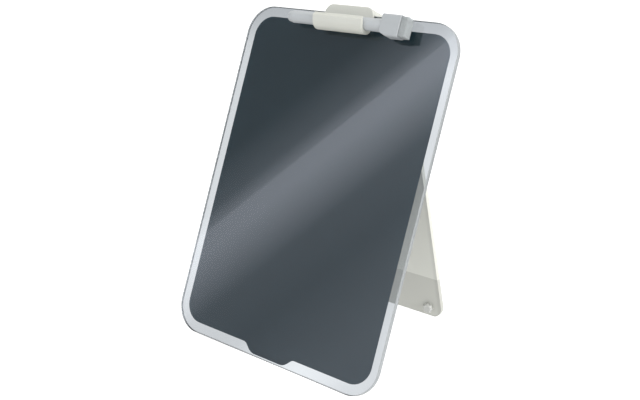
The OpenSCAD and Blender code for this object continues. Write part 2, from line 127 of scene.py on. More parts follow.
class EaselSizes(bpy.types.PropertyGroup):
    lean: angle("Lean", "Angle that the panel leans back from upright", 23)
    leg_tilt: angle("Leg tilt", "Angle of the open leg from upright", 7.8)
    glass_width: length("Glass width", "Width of the panel", GLASS_HIGH.x - GLASS_LOW.x)
    glass_height: length("Glass height", "Height of the panel along its face", 0.304)
    glass_thickness: length("Glass thickness", "Thickness of the panel", 0.004)
    glass_corner: length("Glass corner", "Radius of the panel's corners", 0.026)
    glass_arris: length("Glass arris", "Width of the bevels along the edge of the glass", 0.0005)
    mould_edge: length("Mould edge", "Radius that a mould leaves on the plastic's edges", 0.0004)
    leg_edge: length("Leg edge", "Radius on the leg's edges", 0.0004)
    turned_edge: length("Turned edge", "Radius on the edges of the marker's barrel and plug", 0.00015)
    cap_edge: length("Cap edge", "Radius round the ends of the marker's cap", 0.0004)
    shoulder_width: length("Shoulder width", "Width of the leg below its shoulders", 0.101)
    # Painted shade: the greyer band along the leg's sides.
    leg_rim: length("Leg rim", "Width of the greyer band along the leg's sides", 0.0045)
    # The foot band has a coarser grain, and its darker colour is painted shade.
    foot_band: length("Foot band", "Height of the leg's more coarsely textured foot", 0.041)
    fibre_length: length("Fibre length", "Length of a loose fibre on the felt", 0.0024)
    fibre_radius: length("Fibre radius", "Radius of a loose fibre on the felt", 0.00006)
    felt_depth: length("Felt depth", "Depth of the felt, square to the panel", 0.0096)
    felt_height: length("Felt height", "Height of the felt, along the panel", 0.0162)
    felt_corner: length("Felt corner", "Radius of the felt's long edges", 0.0009)
    fibres: IntProperty(name="Fibres", description="Loose fibres on a square centimetre of felt",
                        default=160, min=0, max=1000)


class EaselColours(bpy.types.PropertyGroup):
    glass: colour("Glass", "What the greyish glass lets through", "#BDC1C4")
    ground: colour("Ground edge", "The flat of the glass's ground edge", "#C4C8CA")
    # Painted shade: the bevels are set darker than the flat of the same ground glass.
    arris: colour("Arris", "The narrow bevels along the glass's edge", "#929697")
    screen_print: colour("Print", "The colour layer behind the glass", "#3E545C")
    clip: colour("Clip", "The plastic of the clip and of the hinge housing", "#C0C1B9")
    # Painted light: the leg is set paler than the clip, which is the same plastic, to make up for the
    # shade behind the panel.
    leg: colour("Leg", "The plastic of the leg", "#D2D3CB")
    # Painted light and shade: the barrel is set lighter and the cap darker, though both are the same
    # plastic.
    marker: colour("Marker", "The plastic of the marker's barrel and plug", "#A9ADAF")
    cap: colour("Cap", "The plastic of the marker's cap", "#A1A5A7")
    felt: colour("Felt", "The wool of the eraser", "#A3A8A9")
    # Painted shade: the dark line painted along the bottom of the glass's ground edge.
    edge_shade: colour("Edge_shade", "The line that the desk leaves on the edge it carries", "#3C3F40")
    ink: colour("Ink", "The marker's ink", "#15161A")
    coating: colour("Coating", "The powder coat on the steel sheet", "#34383A")
    tape: colour("Tape", "The foam of the mounting tape", "#DDDDD8")


def sizes():
    return bpy.context.scene.easel_sizes


def colours():
    return bpy.context.scene.easel_colours


# ---------------------------------------------------------------- places

def panel_place():
    """From the panel's own frame, x across, y up the face and z out of it, to the row's."""
    s = sizes()
    y = GLASS_LOW.y - s.glass_arris * math.sin(s.lean)
    z = (s.glass_thickness - s.glass_arris) * math.sin(s.lean)
    return Matrix.Translation((0, y, z)) @ Matrix.Rotation(math.pi / 2 - s.lean, 4, "X")


def leg_place():
    """From the leg's own frame, y up the leg to the hinge and z towards the panel."""
    return Matrix.Translation(HINGE) @ Matrix.Rotation(math.pi / 2 + sizes().leg_tilt, 4, "X")


def marker_place():
    """From the marker's own frame, z along its axis from the clip's middle to the cap."""
    low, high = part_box("ink_reservoir")
    axis = (low + high) / 2
    turn = Matrix.Rotation(math.pi / 2 - sizes().lean, 4, "X") @ Matrix.Rotation(math.pi / 2, 4, "Y")
    return Matrix.Translation((0, axis.y, axis.z)) @ turn


# ---------------------------------------------------------------- building blocks

def add_node(tree, kind, inputs=None, **settings):
    """One node of a shader or geometry tree. An input's value may be another node's output."""
    made = tree.nodes.new(kind)
    for name, value in settings.items():
        setattr(made, name, value)
    for name, value in (inputs or {}).items():
        if isinstance(value, bpy.types.NodeSocket):
            tree.links.new(value, made.inputs[name])
        else:
            made.inputs[name].default_value = value
    return made


def new_finish(name, colour, **sockets):
    """A material with a Principled surface, whose even values stand on its own sockets."""
    material = bpy.data.materials.new(name)
    material.use_nodes = True
    surface = material.node_tree.nodes["Principled BSDF"]
    surface.inputs["Base Color"].default_value = (*colour, 1)
    for socket, value in sockets.items():
        surface.inputs[socket.replace("_", " ")].default_value = value
    return material, material.node_tree, surface


def places(tree):
    """Object coordinates, which are places in the row's frame."""
    return add_node(tree, "ShaderNodeTexCoord").outputs["Object"]


def vary_colour(tree, surface, factor, shade, change):
    """Lets a pattern move the base colour from (1 - change) to (1 + change) times itself."""
    low, high = ((*(min(1.0, c * k) for c in shade), 1) for k in (1 - change, 1 + change))
    mixed = add_node(tree, "ShaderNodeMix", {"Factor": factor, "A": low, "B": high}, data_type="RGBA")
    tree.links.new(mixed.outputs["Result"], surface.inputs["Base Color"])
    return mixed.outputs["Result"]


def link_bump(tree, surface, height, depth):
    """Raises the surface by up to depth where a pattern is light."""
    bump = add_node(tree, "ShaderNodeBump", {"Height": height, "Distance": depth})
    tree.links.new(bump.outputs["Normal"], surface.inputs["Normal"])


def new_tree(name, inputs):
    """An empty Geometry Nodes tree with named inputs, given as {name: socket type}."""
    tree = bpy.data.node_groups.new(name, "GeometryNodeTree")
    tree.interface.new_socket("Geometry", in_out="OUTPUT", socket_type="NodeSocketGeometry")
    for label, kind in inputs.items():
        tree.interface.new_socket(label, in_out="INPUT", socket_type=kind)
    return tree, tree.nodes.new("NodeGroupInput").outputs


def end_tree(tree, geometry, material):
    """Ends a tree with plain meshes that carry their material."""
    real = add_node(tree, "GeometryNodeRealizeInstances", {"Geometry": geometry})
    done = add_node(tree, "GeometryNodeSetMaterial",
                    {"Geometry": real.outputs["Geometry"], "Material": material})
    add_node(tree, "NodeGroupOutput", {"Geometry": done.outputs["Geometry"]})
    return tree


def grow(tree, values, base=None):
    """The plain mesh that a Geometry Nodes tree gives for these inputs."""
    carrier = bpy.data.objects.new("carrier", base or bpy.data.meshes.new("carrier"))
    bpy.context.collection.objects.link(carrier)
    modifier = carrier.modifiers.new("grow", "NODES")
    modifier.node_group = tree
    for socket in tree.interface.items_tree:
        if socket.in_out == "INPUT" and socket.name in values:
            modifier[socket.identifier] = values[socket.name]
    return flatten(carrier)


def flatten(carrier):
    """The plain mesh of an object with its modifiers applied; the object goes away."""
    evaluated = carrier.evaluated_get(bpy.context.evaluated_depsgraph_get())
    mesh = bpy.data.meshes.new_from_object(evaluated)
    bpy.data.objects.remove(carrier)
    return mesh


def round_edges(mesh, radius, steps=3, sharpest=28):
    """Rounds a solid's sharp edges and shades its faces as one smooth skin."""
    mesh.shade_smooth()
    carrier = bpy.data.objects.new("carrier", mesh)
    bpy.context.collection.objects.link(carrier)
    bevel = carrier.modifiers.new("round", "BEVEL")
    bevel.width = radius
    bevel.segments = steps
    bevel.limit_method = "ANGLE"
    bevel.angle_limit = math.radians(sharpest)
    bevel.harden_normals = True
    return flatten(carrier)


def merged_copy(node):
    """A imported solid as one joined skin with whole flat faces."""
    shape = bmesh.new()
    shape.from_mesh(NODES[node].data)
    bmesh.ops.remove_doubles(shape, verts=shape.verts, dist=WELD)
    bmesh.ops.dissolve_limit(shape, angle_limit=WHOLE_FACE, verts=shape.verts, edges=shape.edges)
    mesh = bpy.data.meshes.new(node)
    shape.to_mesh(mesh)
    shape.free()
    if "custom_normal" in mesh.attributes:
        mesh.attributes.remove(mesh.attributes["custom_normal"])
    return mesh


def put_piece(name, mesh, node, *finishes):
    """Shows a mesh in a CAD node's place, riding on that node's body."""
    mesh.name = name
    mesh.materials.clear()
    for finish in finishes:
        mesh.materials.append(finish)
    piece = bpy.data.objects.new(name, mesh)
    bpy.context.collection.objects.link(piece)
    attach(piece, NODES[node]["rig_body"])
    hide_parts(node)
    return piece


def paint_node(node, material):
    """Gives a CAD node that keeps its shape its finish."""
    NODES[node].data.materials.clear()
    NODES[node].data.materials.append(material)


# ---------------------------------------------------------------- finishes

def polished_glass():
    """Float glass with a grey tint: glossy and flat, a little unevenly tinted."""
    shade = colours().glass
    material, tree, surface = new_finish("Grey-tinted float glass", shade, Roughness=0.0,
                                         IOR=1.52, Transmission_Weight=1.0)
    clouds = add_node(tree, "ShaderNodeTexNoise", {"Vector": places(tree), "Scale": 1 / (60 * MM)})
    vary_colour(tree, surface, clouds.outputs["Fac"], shade, 0.02)
    return material


def ground_glass(name, shade, roughness, clearness):
    """Glass that a wheel has ground: pale grey satin with fine marks, and a painted shade along the edge
    it stands on.
    """
    material, tree, surface = new_finish(name, shade, Roughness=roughness, IOR=1.52,
                                         Transmission_Weight=clearness)
    place = places(tree)
    patches = add_node(tree, "ShaderNodeTexNoise", {"Vector": place, "Scale": 1 / (6 * MM)})
    mixed = vary_colour(tree, surface, patches.outputs["Fac"], shade, 0.08)
    # Painted shade: the ground edge turns to a dark line near the desk, standing in for the dark backing
    # seen through the glass there.
    height = add_node(tree, "ShaderNodeSeparateXYZ", {"Vector": place}).outputs["Z"]
    low = add_node(tree, "ShaderNodeMapRange", {
        "Value": height, "From Min": EDGE_SHADE_FULL, "From Max": EDGE_SHADE_GONE, "To Min": 1.0, "To Max": 0.0})
    shaded = add_node(tree, "ShaderNodeMix", {
        "Factor": low.outputs["Result"], "A": mixed, "B": (*colours().edge_shade, 1)}, data_type="RGBA")
    tree.links.new(shaded.outputs["Result"], surface.inputs["Base Color"])
    # The wheel's marks are about 0.05 mm apart, too fine to show, so they are drawn at 0.3 mm.
    marks = add_node(tree, "ShaderNodeTexNoise", {"Vector": place, "Scale": 1 / (0.3 * MM)})
    link_bump(tree, surface, marks.outputs["Fac"], 0.03 * MM)
    return material


def screen_print():
    """Screen-printed ceramic ink behind glass: dark and even, with faint clouds of thickness."""
    shade = colours().screen_print
    material, tree, surface = new_finish("Screen-printed ceramic ink", shade, Roughness=0.6,
                                         Specular_IOR_Level=0.0)
    clouds = add_node(tree, "ShaderNodeTexNoise",
                      {"Vector": places(tree), "Scale": 1 / (45 * MM), "Detail": 4.0})
    vary_colour(tree, surface, clouds.outputs["Fac"], shade, 0.06)
    return material


def acrylic_film():
    """Acrylic bonding film: dark and smooth, seen only as a thin line round the steel."""
    material, tree, surface = new_finish("Acrylic bonding film", linear("#303436"), Roughness=0.3)
    bubbles = add_node(tree, "ShaderNodeTexNoise", {"Vector": places(tree), "Scale": 1 / (3 * MM)})
    link_bump(tree, surface, bubbles.outputs["Fac"], 0.02 * MM)
    return material


def coated_steel():
    """Powder-coated steel: near black, with an even orange peel that breaks its soft highlights."""
    shade = colours().coating
    material, tree, surface = new_finish("Powder-coated steel", shade, Roughness=0.45)
    place = places(tree)
    clouds = add_node(tree, "ShaderNodeTexNoise", {"Vector": place, "Scale": 1 / (40 * MM)})
    vary_colour(tree, surface, clouds.outputs["Fac"], shade, 0.08)
    peel = add_node(tree, "ShaderNodeTexNoise",
                    {"Vector": place, "Scale": 1 / (1.2 * MM), "Detail": 1.0})
    link_bump(tree, surface, peel.outputs["Fac"], 0.06 * MM)
    return material


def foam():
    """Closed-cell polyethylene foam: matt, with fine cells along its cut edge."""
    shade = colours().tape
    material, tree, surface = new_finish("Closed-cell foam", shade, Roughness=0.85)
    cells = add_node(tree, "ShaderNodeTexVoronoi", {"Vector": places(tree), "Scale": 1 / (0.35 * MM)})
    vary_colour(tree, surface, cells.outputs["Distance"], shade, 0.08)
    link_bump(tree, surface, cells.outputs["Distance"], 0.08 * MM)
    return material


def moulded_abs(name, shade, roughness=0.42):
    """ABS from a spark-eroded mould: matt, with a fine even grain that spreads its highlights."""
    material, tree, surface = new_finish(name, shade, Roughness=roughness, IOR=1.53)
    place = places(tree)
    # The real grain is about 0.1 mm, too fine to show, so it is drawn at 0.5 mm.
    grain = add_node(tree, "ShaderNodeTexNoise", {"Vector": place, "Scale": 1 / (0.5 * MM)})
    clouds = add_node(tree, "ShaderNodeTexNoise", {"Vector": place, "Scale": 1 / (18 * MM)})
    vary_colour(tree, surface, clouds.outputs["Fac"], shade, 0.03)
    link_bump(tree, surface, grain.outputs["Fac"], 0.03 * MM)
    return material


def leg_abs():
    """The leg's ABS, set paler than the clip's as painted light: the same fine grain, with a coarser
    grain and painted shade in a band at the foot, and painted shade along its sides.
    """
    s, shade = sizes(), colours().leg
    material, tree, surface = new_finish("Spark-textured ABS, leg", shade, Roughness=0.5, IOR=1.53)
    place = places(tree)
    spot = add_node(tree, "ShaderNodeSeparateXYZ", {"Vector": place}).outputs
    height = spot["Z"]
    band = add_node(tree, "ShaderNodeMath", {0: height, 1: s.foot_band}, operation="LESS_THAN")
    clouds = add_node(tree, "ShaderNodeTexNoise", {"Vector": place, "Scale": 1 / (25 * MM)})
    mixed = vary_colour(tree, surface, clouds.outputs["Fac"], shade, 0.02)
    # Painted shade: the foot band is darkened to FOOT_SHADE times the leg's colour.
    foot = add_node(tree, "ShaderNodeMix", {
        "Factor": band.outputs[0], "A": mixed, "B": (*(FOOT_SHADE * c for c in shade), 1)},
        data_type="RGBA")
    # Painted shade: the leg darkens towards its sides, as a rounded edge turning from the light would.
    beside = add_node(tree, "ShaderNodeMath", {0: spot["X"]}, operation="ABSOLUTE")
    side = add_node(tree, "ShaderNodeMapRange", {
        "Value": height, "From Max": HINGE.z, "To Min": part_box("stand_leg")[1].x,
        "To Max": s.shoulder_width / 2})
    inward = add_node(tree, "ShaderNodeMath", {0: side.outputs["Result"], 1: beside.outputs[0]},
                      operation="SUBTRACT")
    rim = add_node(tree, "ShaderNodeMapRange", {
        "Value": inward.outputs[0], "From Max": s.leg_rim, "To Min": RIM_SHADE, "To Max": 1.0},
        interpolation_type="SMOOTHSTEP")
    shaded = add_node(tree, "ShaderNodeVectorMath", {
        0: foot.outputs["Result"], "Scale": rim.outputs["Result"]}, operation="SCALE")
    tree.links.new(shaded.outputs["Vector"], surface.inputs["Base Color"])
    grain = add_node(tree, "ShaderNodeTexNoise", {"Vector": place, "Scale": 1 / (0.5 * MM)})
    coarse = add_node(tree, "ShaderNodeTexNoise", {"Vector": place, "Scale": 1 / (0.9 * MM)})
    both = add_node(tree, "ShaderNodeMix", {
        "Factor": band.outputs[0], "A": grain.outputs["Fac"], "B": coarse.outputs["Fac"]})
    link_bump(tree, surface, both.outputs["Result"], 0.04 * MM)
    return material


def turned_steel():
    """Stainless steel, drawn and turned: bright, with fine rings round it."""
    base = linear("#C2C1BE")
    material, tree, surface = new_finish("Drawn stainless steel", base, Metallic=1.0, Roughness=0.28)
    rings = add_node(tree, "ShaderNodeMapping", {"Vector": places(tree), "Scale": (1.0, 0.05, 0.05)})
    turned = add_node(tree, "ShaderNodeTexNoise",
                      {"Vector": rings.outputs["Vector"], "Scale": 1 / (0.25 * MM)})
    vary_colour(tree, surface, turned.outputs["Fac"], base, 0.05)
    link_bump(tree, surface, turned.outputs["Fac"], 0.01 * MM)
    return material


def clear_urethane():
    """Cast polyurethane bumper: clear and soft, with a faint haze inside."""
    material, tree, surface = new_finish("Cast clear polyurethane", linear("#F8F9F6"), Roughness=0.06,
                                         IOR=1.49, Transmission_Weight=0.6)
    haze = add_node(tree, "ShaderNodeTexNoise", {"Vector": places(tree), "Scale": 1 / (1.5 * MM)})
    link_bump(tree, surface, haze.outputs["Fac"], 0.01 * MM)
    return material


def satin_polypropylene(name, shade):
    """Injection-moulded polypropylene: satin, with faint flow marks along the marker."""
    material, tree, surface = new_finish(name, shade, Roughness=0.38, IOR=1.49)
    flow = add_node(tree, "ShaderNodeMapping", {"Vector": places(tree), "Scale": (0.15, 1.0, 1.0)})
    marks = add_node(tree, "ShaderNodeTexNoise",
                     {"Vector": flow.outputs["Vector"], "Scale": 1 / (2.5 * MM)})
    vary_colour(tree, surface, marks.outputs["Fac"], shade, 0.03)
    link_bump(tree, surface, marks.outputs["Fac"], 0.02 * MM)
    return material


def inked_fibre():
    """Bonded polyester fibre full of ink: nearly black, with fine strands along it."""
    shade = colours().ink
    material, tree, surface = new_finish("Bonded polyester fibre", shade, Roughness=0.8)
    strands = add_node(tree, "ShaderNodeMapping", {"Vector": places(tree), "Scale": (0.08, 1.0, 1.0)})
    fibres = add_node(tree, "ShaderNodeTexNoise",
                      {"Vector": strands.outputs["Vector"], "Scale": 1 / (0.2 * MM)})
    vary_colour(tree, surface, fibres.outputs["Fac"], shade, 0.4)
    link_bump(tree, surface, fibres.outputs["Fac"], 0.06 * MM)
    return material


def acetal():
    """Moulded acetal: white, hard and waxy."""
    shade = linear("#D6D7D4")
    material, tree, surface = new_finish("Moulded acetal", shade, Roughness=0.3, IOR=1.48)
    clouds = add_node(tree, "ShaderNodeTexNoise", {"Vector": places(tree), "Scale": 1 / (4 * MM)})
    vary_colour(tree, surface, clouds.outputs["Fac"], shade, 0.03)
    return material


def soft_rubber():
    """Moulded thermoplastic rubber: dull dark grey with a dusty bloom."""
    shade = linear("#7C7F80")
    material, tree, surface = new_finish("Soft thermoplastic rubber", shade, Roughness=0.7)
    bloom = add_node(tree, "ShaderNodeTexNoise", {"Vector": places(tree), "Scale": 1 / (1.2 * MM)})
    vary_colour(tree, surface, bloom.outputs["Fac"], shade, 0.1)
    return material


def wool_felt():
    """Pressed wool felt: dull, with fibres that run every way and a soft sheen at its edges."""
    shade = colours().felt
    material, tree, surface = new_finish("Pressed wool felt", shade, Roughness=0.95,
                                         Specular_IOR_Level=0.2, Sheen_Weight=0.25, Sheen_Roughness=0.5)
    place = places(tree)
    strands = add_node(tree, "ShaderNodeTexNoise",
                       {"Vector": place, "Scale": 1 / (0.5 * MM), "Detail": 4.0, "Distortion": 2.5})
    vary_colour(tree, surface, strands.outputs["Fac"], shade, 0.22)
    link_bump(tree, surface, strands.outputs["Fac"], 0.15 * MM)
    return material


# ---------------------------------------------------------------- Geometry Nodes trees

PLATE_INPUTS = {
    "Width": "NodeSocketFloat", "Height": "NodeSocketFloat", "Thickness": "NodeSocketFloat",
    "Corner": "NodeSocketFloat", "Steps": "NodeSocketInt", "Place": "NodeSocketVector",
    "Turn": "NodeSocketRotation", "Material": "NodeSocketMaterial"}

FELT_INPUTS = {
    "Felt": "NodeSocketGeometry", "Length": "NodeSocketFloat", "Radius": "NodeSocketFloat",
    "Density": "NodeSocketFloat", "Nap": "NodeSocketFloat", "Seed": "NodeSocketInt",
    "Material": "NodeSocketMaterial"}


def rounded_plate_tree():
    """A flat plate with round corners, thick along its own z, put in its place at the end."""
    tree, given = new_tree("Rounded plate", PLATE_INPUTS)
    outline = add_node(tree, "GeometryNodeCurvePrimitiveQuadrilateral",
                       {"Width": given["Width"], "Height": given["Height"]})
    rounded = add_node(tree, "GeometryNodeFilletCurve", {
        "Curve": outline.outputs["Curve"], "Radius": given["Corner"], "Count": given["Steps"]},
        mode="POLY")
    face = add_node(tree, "GeometryNodeFillCurve", {"Curve": rounded.outputs["Curve"]}, mode="NGONS")
    front = add_node(tree, "GeometryNodeExtrudeMesh", {
        "Mesh": face.outputs["Mesh"], "Offset Scale": given["Thickness"], "Individual": False})
    back = add_node(tree, "GeometryNodeFlipFaces", {"Mesh": face.outputs["Mesh"]})
    both = add_node(tree, "GeometryNodeJoinGeometry", {"Geometry": front.outputs["Mesh"]})
    tree.links.new(back.outputs["Mesh"], both.inputs["Geometry"])
    closed = add_node(tree, "GeometryNodeMergeByDistance",
                      {"Geometry": both.outputs["Geometry"], "Distance": WELD})
    placed = add_node(tree, "GeometryNodeTransform", {
        "Geometry": closed.outputs["Geometry"], "Translation": given["Place"],
        "Rotation": given["Turn"]})
    return end_tree(tree, placed.outputs["Geometry"], given["Material"])


def felt_tree():
    """A block of felt: its skin raised into a nap, with loose bent fibres lying on it."""
    tree, given = new_tree("Felt fibres", FELT_INPUTS)
    lumps = add_node(tree, "ShaderNodeTexNoise", {"Scale": 1 / (1.1 * MM), "Detail": 3.0})
    raised = add_node(tree, "ShaderNodeMath", {0: lumps.outputs["Fac"], 1: 0.5}, operation="SUBTRACT")
    depth = add_node(tree, "ShaderNodeMath", {0: raised.outputs[0], 1: given["Nap"]},
                     operation="MULTIPLY")
    outward = add_node(tree, "GeometryNodeInputNormal")
    offset = add_node(tree, "ShaderNodeVectorMath",
                      {0: outward.outputs["Normal"], "Scale": depth.outputs[0]}, operation="SCALE")
    skin = add_node(tree, "GeometryNodeSetPosition",
                    {"Geometry": given["Felt"], "Offset": offset.outputs["Vector"]})
    half = add_node(tree, "ShaderNodeMath", {0: given["Length"], 1: 0.5}, operation="MULTIPLY")
    other = add_node(tree, "ShaderNodeMath", {0: half.outputs[0], 1: -1.0}, operation="MULTIPLY")
    arch = add_node(tree, "ShaderNodeMath", {0: given["Length"], 1: FIBRE_ARCH}, operation="MULTIPLY")
    start = add_node(tree, "ShaderNodeCombineXYZ", {"X": other.outputs[0]})
    middle = add_node(tree, "ShaderNodeCombineXYZ", {"Y": arch.outputs[0], "Z": given["Radius"]})
    end = add_node(tree, "ShaderNodeCombineXYZ", {"X": half.outputs[0]})
    bend = add_node(tree, "GeometryNodeCurveQuadraticBezier", {
        "Resolution": 5, "Start": start.outputs["Vector"], "Middle": middle.outputs["Vector"],
        "End": end.outputs["Vector"]})
    section = add_node(tree, "GeometryNodeCurvePrimitiveCircle", {
        "Resolution": 3, "Radius": given["Radius"]})
    fibre = add_node(tree, "GeometryNodeCurveToMesh", {
        "Curve": bend.outputs["Curve"], "Profile Curve": section.outputs["Curve"], "Fill Caps": True})
    spots = add_node(tree, "GeometryNodeDistributePointsOnFaces", {
        "Mesh": skin.outputs["Geometry"], "Density": given["Density"], "Seed": given["Seed"]})
    spin = add_node(tree, "FunctionNodeRandomValue", {
        "Min": (-FIBRE_TILT, -FIBRE_TILT, 0.0), "Max": (FIBRE_TILT, FIBRE_TILT, math.tau),
        "Seed": given["Seed"]}, data_type="FLOAT_VECTOR")
    turned = add_node(tree, "FunctionNodeRotateRotation", {
        "Rotation": spots.outputs["Rotation"], "Rotate By": spin.outputs["Value"]},
        rotation_space="LOCAL")
    laid = add_node(tree, "GeometryNodeInstanceOnPoints", {
        "Points": spots.outputs["Points"], "Instance": fibre.outputs["Mesh"],
        "Rotation": turned.outputs["Rotation"]})
    both = add_node(tree, "GeometryNodeJoinGeometry", {"Geometry": skin.outputs["Geometry"]})
    tree.links.new(laid.outputs["Instances"], both.inputs["Geometry"])
    return end_tree(tree, both.outputs["Geometry"], given["Material"])


def rounded_plate(width, height, thickness, corner, place, material):
    """A plate whose back face is centred on the place's origin."""
    return grow(rounded_plate_tree(), {
        "Width": width, "Height": height, "Thickness": thickness, "Corner": corner,
        "Steps": CORNER_STEPS, "Place": place.to_translation(), "Turn": place.to_euler(),
        "Material": material})


# ---------------------------------------------------------------- studio

CAMERA_PLACE = (0.4364, -0.5618, 0.37507)
CAMERA_LOOK_DOWN = 19.46            # degrees below level
CAMERA_TURN = 38.18                 # degrees from looking along +Y, towards -X
CAMERA_LENS = 48.39                 # millimetres, on the sensor below
CAMERA_SENSOR = 36.0
WORLD_LIGHT = 0.7

FLOOR_HALF = 14.0
FLOOR_PAINT = (0.25, 0.25, 0.25)
FLOOR_GLOW = 1.05
SPOT_GLOW = 1.55                    # the floor's glow where the clear lower border shows it
SPOT_OFFSET = (-0.03, 0.085, 0.0)   # moves the spot's middle to the floor's origin
SPOT_REACH = 0.085

CARD_HALF = 0.75
CARD_DISTANCE = 1.5
CARD_ROLL = -156.57                 # degrees about the line that the glass mirrors
CARD_TINT = (0.95, 1.0, 1.12)
CARD_TOP = 4.0                      # the light that the ramp's full white stands for
CARD_GAIN = ((-0.5, 5.0), (0.42, 3.5))      # strength at two places along the card
# How bright the card is across itself: (place, light).
CARD_LIGHT = ((-0.75, 0.33), (-0.2, 0.52), (-0.11, 1.22), (-0.0725, 2.65), (-0.071, 3.45),
              (-0.03, 3.55), (0.024, 2.55), (0.09, 1.25), (0.2, 1.05), (0.4, 1.65))

FLAG_HALF = 0.5
FLAG_PLACE = (-0.45, 0.6, 0.6)
FLAG_FADE = 0.09                    # height over which the flag's lower edge fades in
FLAG_GREY = (0.91, 0.92, 0.93, 1)

# Each light's name, place, size and power.
SOFT_LIGHTS = (
    ("Right softbox", (2.1, -0.1, 0.9), 1.2, 29.0),
    ("Low softbox", (1.5, -0.9, 0.25), 0.9, 5.0),
    ("Overhead softbox", (0.2, 0.1, 2.4), 2.0, 32.0),
)


def stage_sheet(name, half, material):
    """A flat square that belongs to the studio and not to the easel."""
    mesh = bpy.data.meshes.new(name)
    mesh.from_pydata([(-half, -half, 0), (half, -half, 0), (half, half, 0), (-half, half, 0)],
                     [], [(0, 1, 2, 3)])
    mesh.materials.append(material)
    sheet = bpy.data.objects.new(name, mesh)
    bpy.context.scene.collection.objects.link(sheet)
    return sheet


def painted_floor():
    """Matt white studio paint, lit from below like a light table so that it shows no shadow."""
    material, tree, surface = new_finish("Matt studio paint", FLOOR_PAINT, Roughness=1.0,
                                         Specular_IOR_Level=0.0, Emission_Strength=FLOOR_GLOW)
    surface.inputs["Emission Color"].default_value = (1, 1, 1, 1)
    centred = add_node(tree, "ShaderNodeMapping", {"Vector": places(tree), "Location": SPOT_OFFSET})
    away = add_node(tree, "ShaderNodeVectorMath", {0: centred.outputs["Vector"]}, operation="LENGTH")
    glow = add_node(tree, "ShaderNodeMapRange", {
        "Value": away.outputs["Value"], "From Min": 0.0, "From Max": SPOT_REACH,
        "To Min": SPOT_GLOW, "To Max": FLOOR_GLOW},
        interpolation_type="SMOOTHSTEP")
    tree.links.new(glow.outputs["Result"], surface.inputs["Emission Strength"])
    return material


def softbox_glow():
    """The softbox that the glass mirrors: dim, then brighter up to a crisp edge, then fading."""
    material = bpy.data.materials.new("Softbox fabric")
    material.use_nodes = True
    tree = material.node_tree
    tree.nodes.clear()
    spot = add_node(tree, "ShaderNodeSeparateXYZ", {"Vector": places(tree)}).outputs
    reach = add_node(tree, "ShaderNodeMapRange",
                     {"Value": spot["X"], "From Min": -CARD_HALF, "From Max": CARD_HALF})
    ramp = add_node(tree, "ShaderNodeValToRGB", {"Fac": reach.outputs["Result"]})
    while len(ramp.color_ramp.elements) < len(CARD_LIGHT):
        ramp.color_ramp.elements.new(0.5)
    for element, (place, light) in zip(ramp.color_ramp.elements, CARD_LIGHT):
        element.position = (place + CARD_HALF) / (2 * CARD_HALF)
        element.color = (*(light / CARD_TOP * c for c in CARD_TINT), 1)
    (low, low_gain), (high, high_gain) = CARD_GAIN
    gain = add_node(tree, "ShaderNodeMapRange", {
        "Value": spot["Y"], "From Min": low, "From Max": high, "To Min": low_gain, "To Max": high_gain})
    glow = add_node(tree, "ShaderNodeEmission", {"Color": ramp.outputs["Color"],
                                                 "Strength": gain.outputs["Result"]})
    add_node(tree, "ShaderNodeOutputMaterial", {"Surface": glow.outputs["Emission"]})
    return material


def flag_shade():
    """The soft-edged grey that the top of the glass shows against, as photographers set it."""
    material = bpy.data.materials.new("Grey flag")
    material.use_nodes = True
    tree = material.node_tree
    tree.nodes.clear()
    height = add_node(tree, "ShaderNodeSeparateXYZ", {"Vector": places(tree)}).outputs["Y"]
    cover = add_node(tree, "ShaderNodeMapRange", {
        "Value": height, "From Min": -FLAG_HALF, "From Max": -FLAG_HALF + FLAG_FADE},
        interpolation_type="SMOOTHSTEP")
    grey = add_node(tree, "ShaderNodeEmission", {"Color": FLAG_GREY})
    clear = add_node(tree, "ShaderNodeBsdfTransparent")
    both = add_node(tree, "ShaderNodeMixShader", {"Fac": cover.outputs["Result"],
                                                  1: clear.outputs["BSDF"], 2: grey.outputs["Emission"]})
    add_node(tree, "ShaderNodeOutputMaterial", {"Surface": both.outputs["Shader"]})
    return material


# ---------------------------------------------------------------- operators

class EASEL_OT_glass(bpy.types.Operator):
    """Makes the glass panel by its rule, with bevels along its ground edge"""
    bl_idname = "easel.glass"
    bl_label = "Glass panel"

    def execute(self, context):
        s = sizes()
        depth = s.glass_thickness + CONTACT
        place = panel_place() @ Matrix.Translation((0, s.glass_height / 2, -depth))
        polish = polished_glass()
        mesh = round_edges(rounded_plate(s.glass_width, s.glass_height, depth, s.glass_corner,
                                         place, polish), s.glass_arris)
        # Painted shade: the arris copy of the ground glass is darker than the edge copy.
        put_piece("Glass_plate", mesh, "glass_panel", polish,
                  ground_glass("Ground glass edge", colours().ground, 0.9, 0.75),
                  ground_glass("Ground glass arris", colours().arris, 0.55, 0.0))
        square = place.to_3x3() @ Vector((0, 0, 1))
        for face in mesh.polygons:
            towards = abs(face.normal.dot(square))
            face.material_index = 0 if towards > FLAT else 1 if towards < 1 - FLAT else 2
        return {"FINISHED"}


class EASEL_OT_backing(bpy.types.Operator):
    """Finishes the printed colour, the bonding film and the steel sheet behind the glass"""
    bl_idname = "easel.backing"
    bl_label = "Backing"

    def execute(self, context):
        paint_node("colour_layer", screen_print())
        paint_node("adhesive_film", acrylic_film())
        paint_node("steel_sheet", coated_steel())
        return {"FINISHED"}


class EASEL_OT_clip(bpy.types.Operator):
    """Softens and finishes the clip and the hinge housing, and finishes the tape under them"""
    bl_idname = "easel.clip"
    bl_label = "Clip and hinge housing"

    def execute(self, context):
        finish = moulded_abs("Spark-textured ABS, clip", colours().clip)
        for name, node in (("Clip_moulding", "pen_clip"), ("Hinge_moulding", "hinge_housing")):
            put_piece(name, round_edges(merged_copy(node), sizes().mould_edge), node, finish)
        paint_node("mounting_tape", foam())
        return {"FINISHED"}


